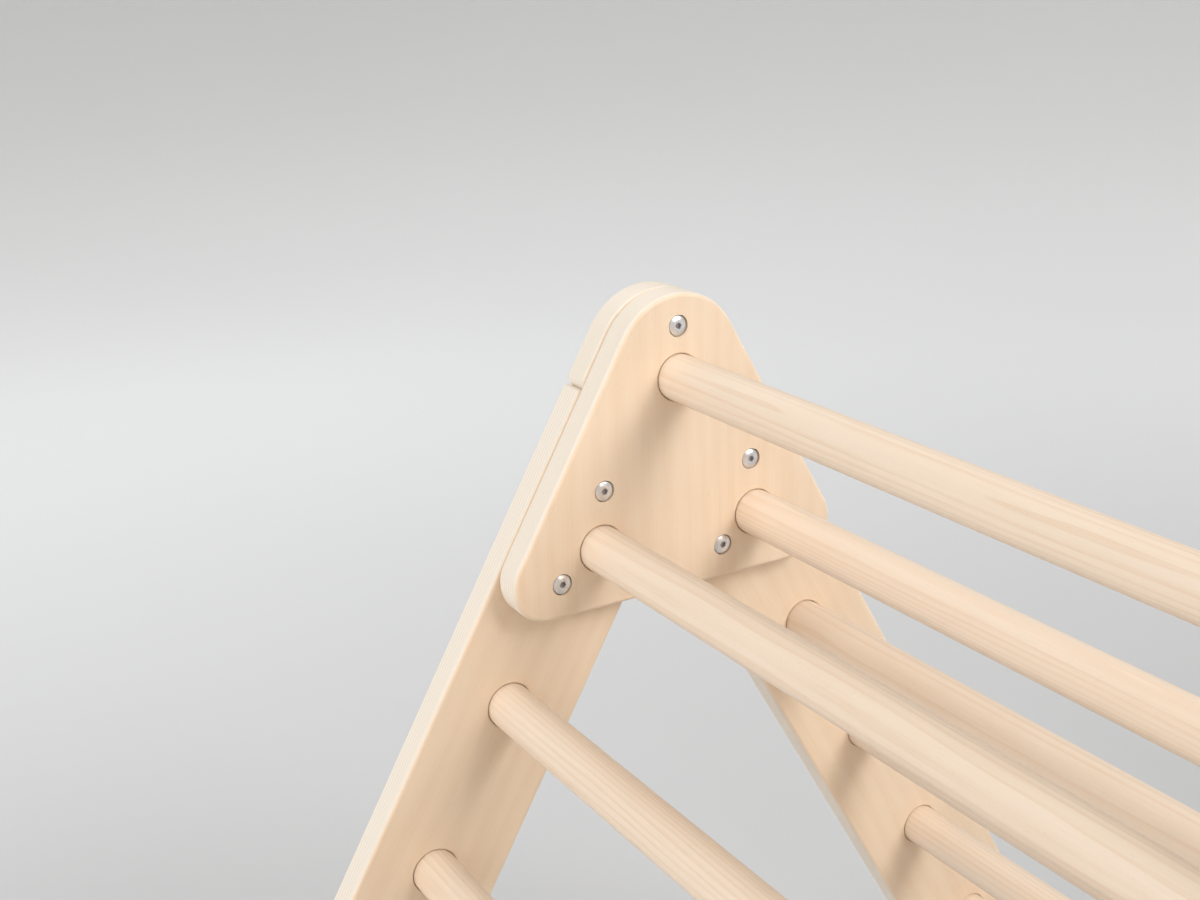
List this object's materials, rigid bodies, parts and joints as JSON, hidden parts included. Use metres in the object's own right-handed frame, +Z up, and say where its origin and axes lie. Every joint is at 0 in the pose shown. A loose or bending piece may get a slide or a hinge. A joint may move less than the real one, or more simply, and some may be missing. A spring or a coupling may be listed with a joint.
{
  "type": "children's climbing triangle",
  "caption": "Free-standing wooden climbing triangle: two rung ladders meeting at 60 degrees, with plywood legs and bolted plywood gussets at the top.",
  "frame": {"origin": "on the floor, in the middle of the footprint", "axes": "+X along the rungs, +Y to the rear ladder (whose legs carry the rounded crowns), +Z up"},
  "size_m": [0.684, 0.8854, 0.734],
  "materials": {
    "leg_ply": "clear matt lacquer on birch plywood",
    "gusset_ply": "clear matt lacquer on birch plywood",
    "rung_wood": "clear matt lacquer on solid hardwood",
    "steel": "bright nickel plate",
    "rubber": "matt"
  },
  "bodies": {
    "root": {"left_gusset": "gusset_ply", "left_front_leg": "leg_ply", "left_rear_leg": "leg_ply", "left_gusset_bolts": "steel", "left_sleeve_nuts": "steel", "left_rung_screws": "steel", "left_front_foot_pad": "rubber", "left_rear_foot_pad": "rubber", "right_gusset": "gusset_ply", "right_front_leg": "leg_ply", "right_rear_leg": "leg_ply", "right_gusset_bolts": "steel", "right_sleeve_nuts": "steel", "right_rung_screws": "steel", "right_front_foot_pad": "rubber", "right_rear_foot_pad": "rubber", "top_rung": "rung_wood", "front_rung_1": "rung_wood", "front_rung_2": "rung_wood", "front_rung_3": "rung_wood", "front_rung_4": "rung_wood", "front_rung_5": "rung_wood", "front_rung_6": "rung_wood", "rear_rung_1": "rung_wood", "rear_rung_2": "rung_wood", "rear_rung_3": "rung_wood", "rear_rung_4": "rung_wood", "rear_rung_5": "rung_wood", "rear_rung_6": "rung_wood"}
  },
  "joints": []
}
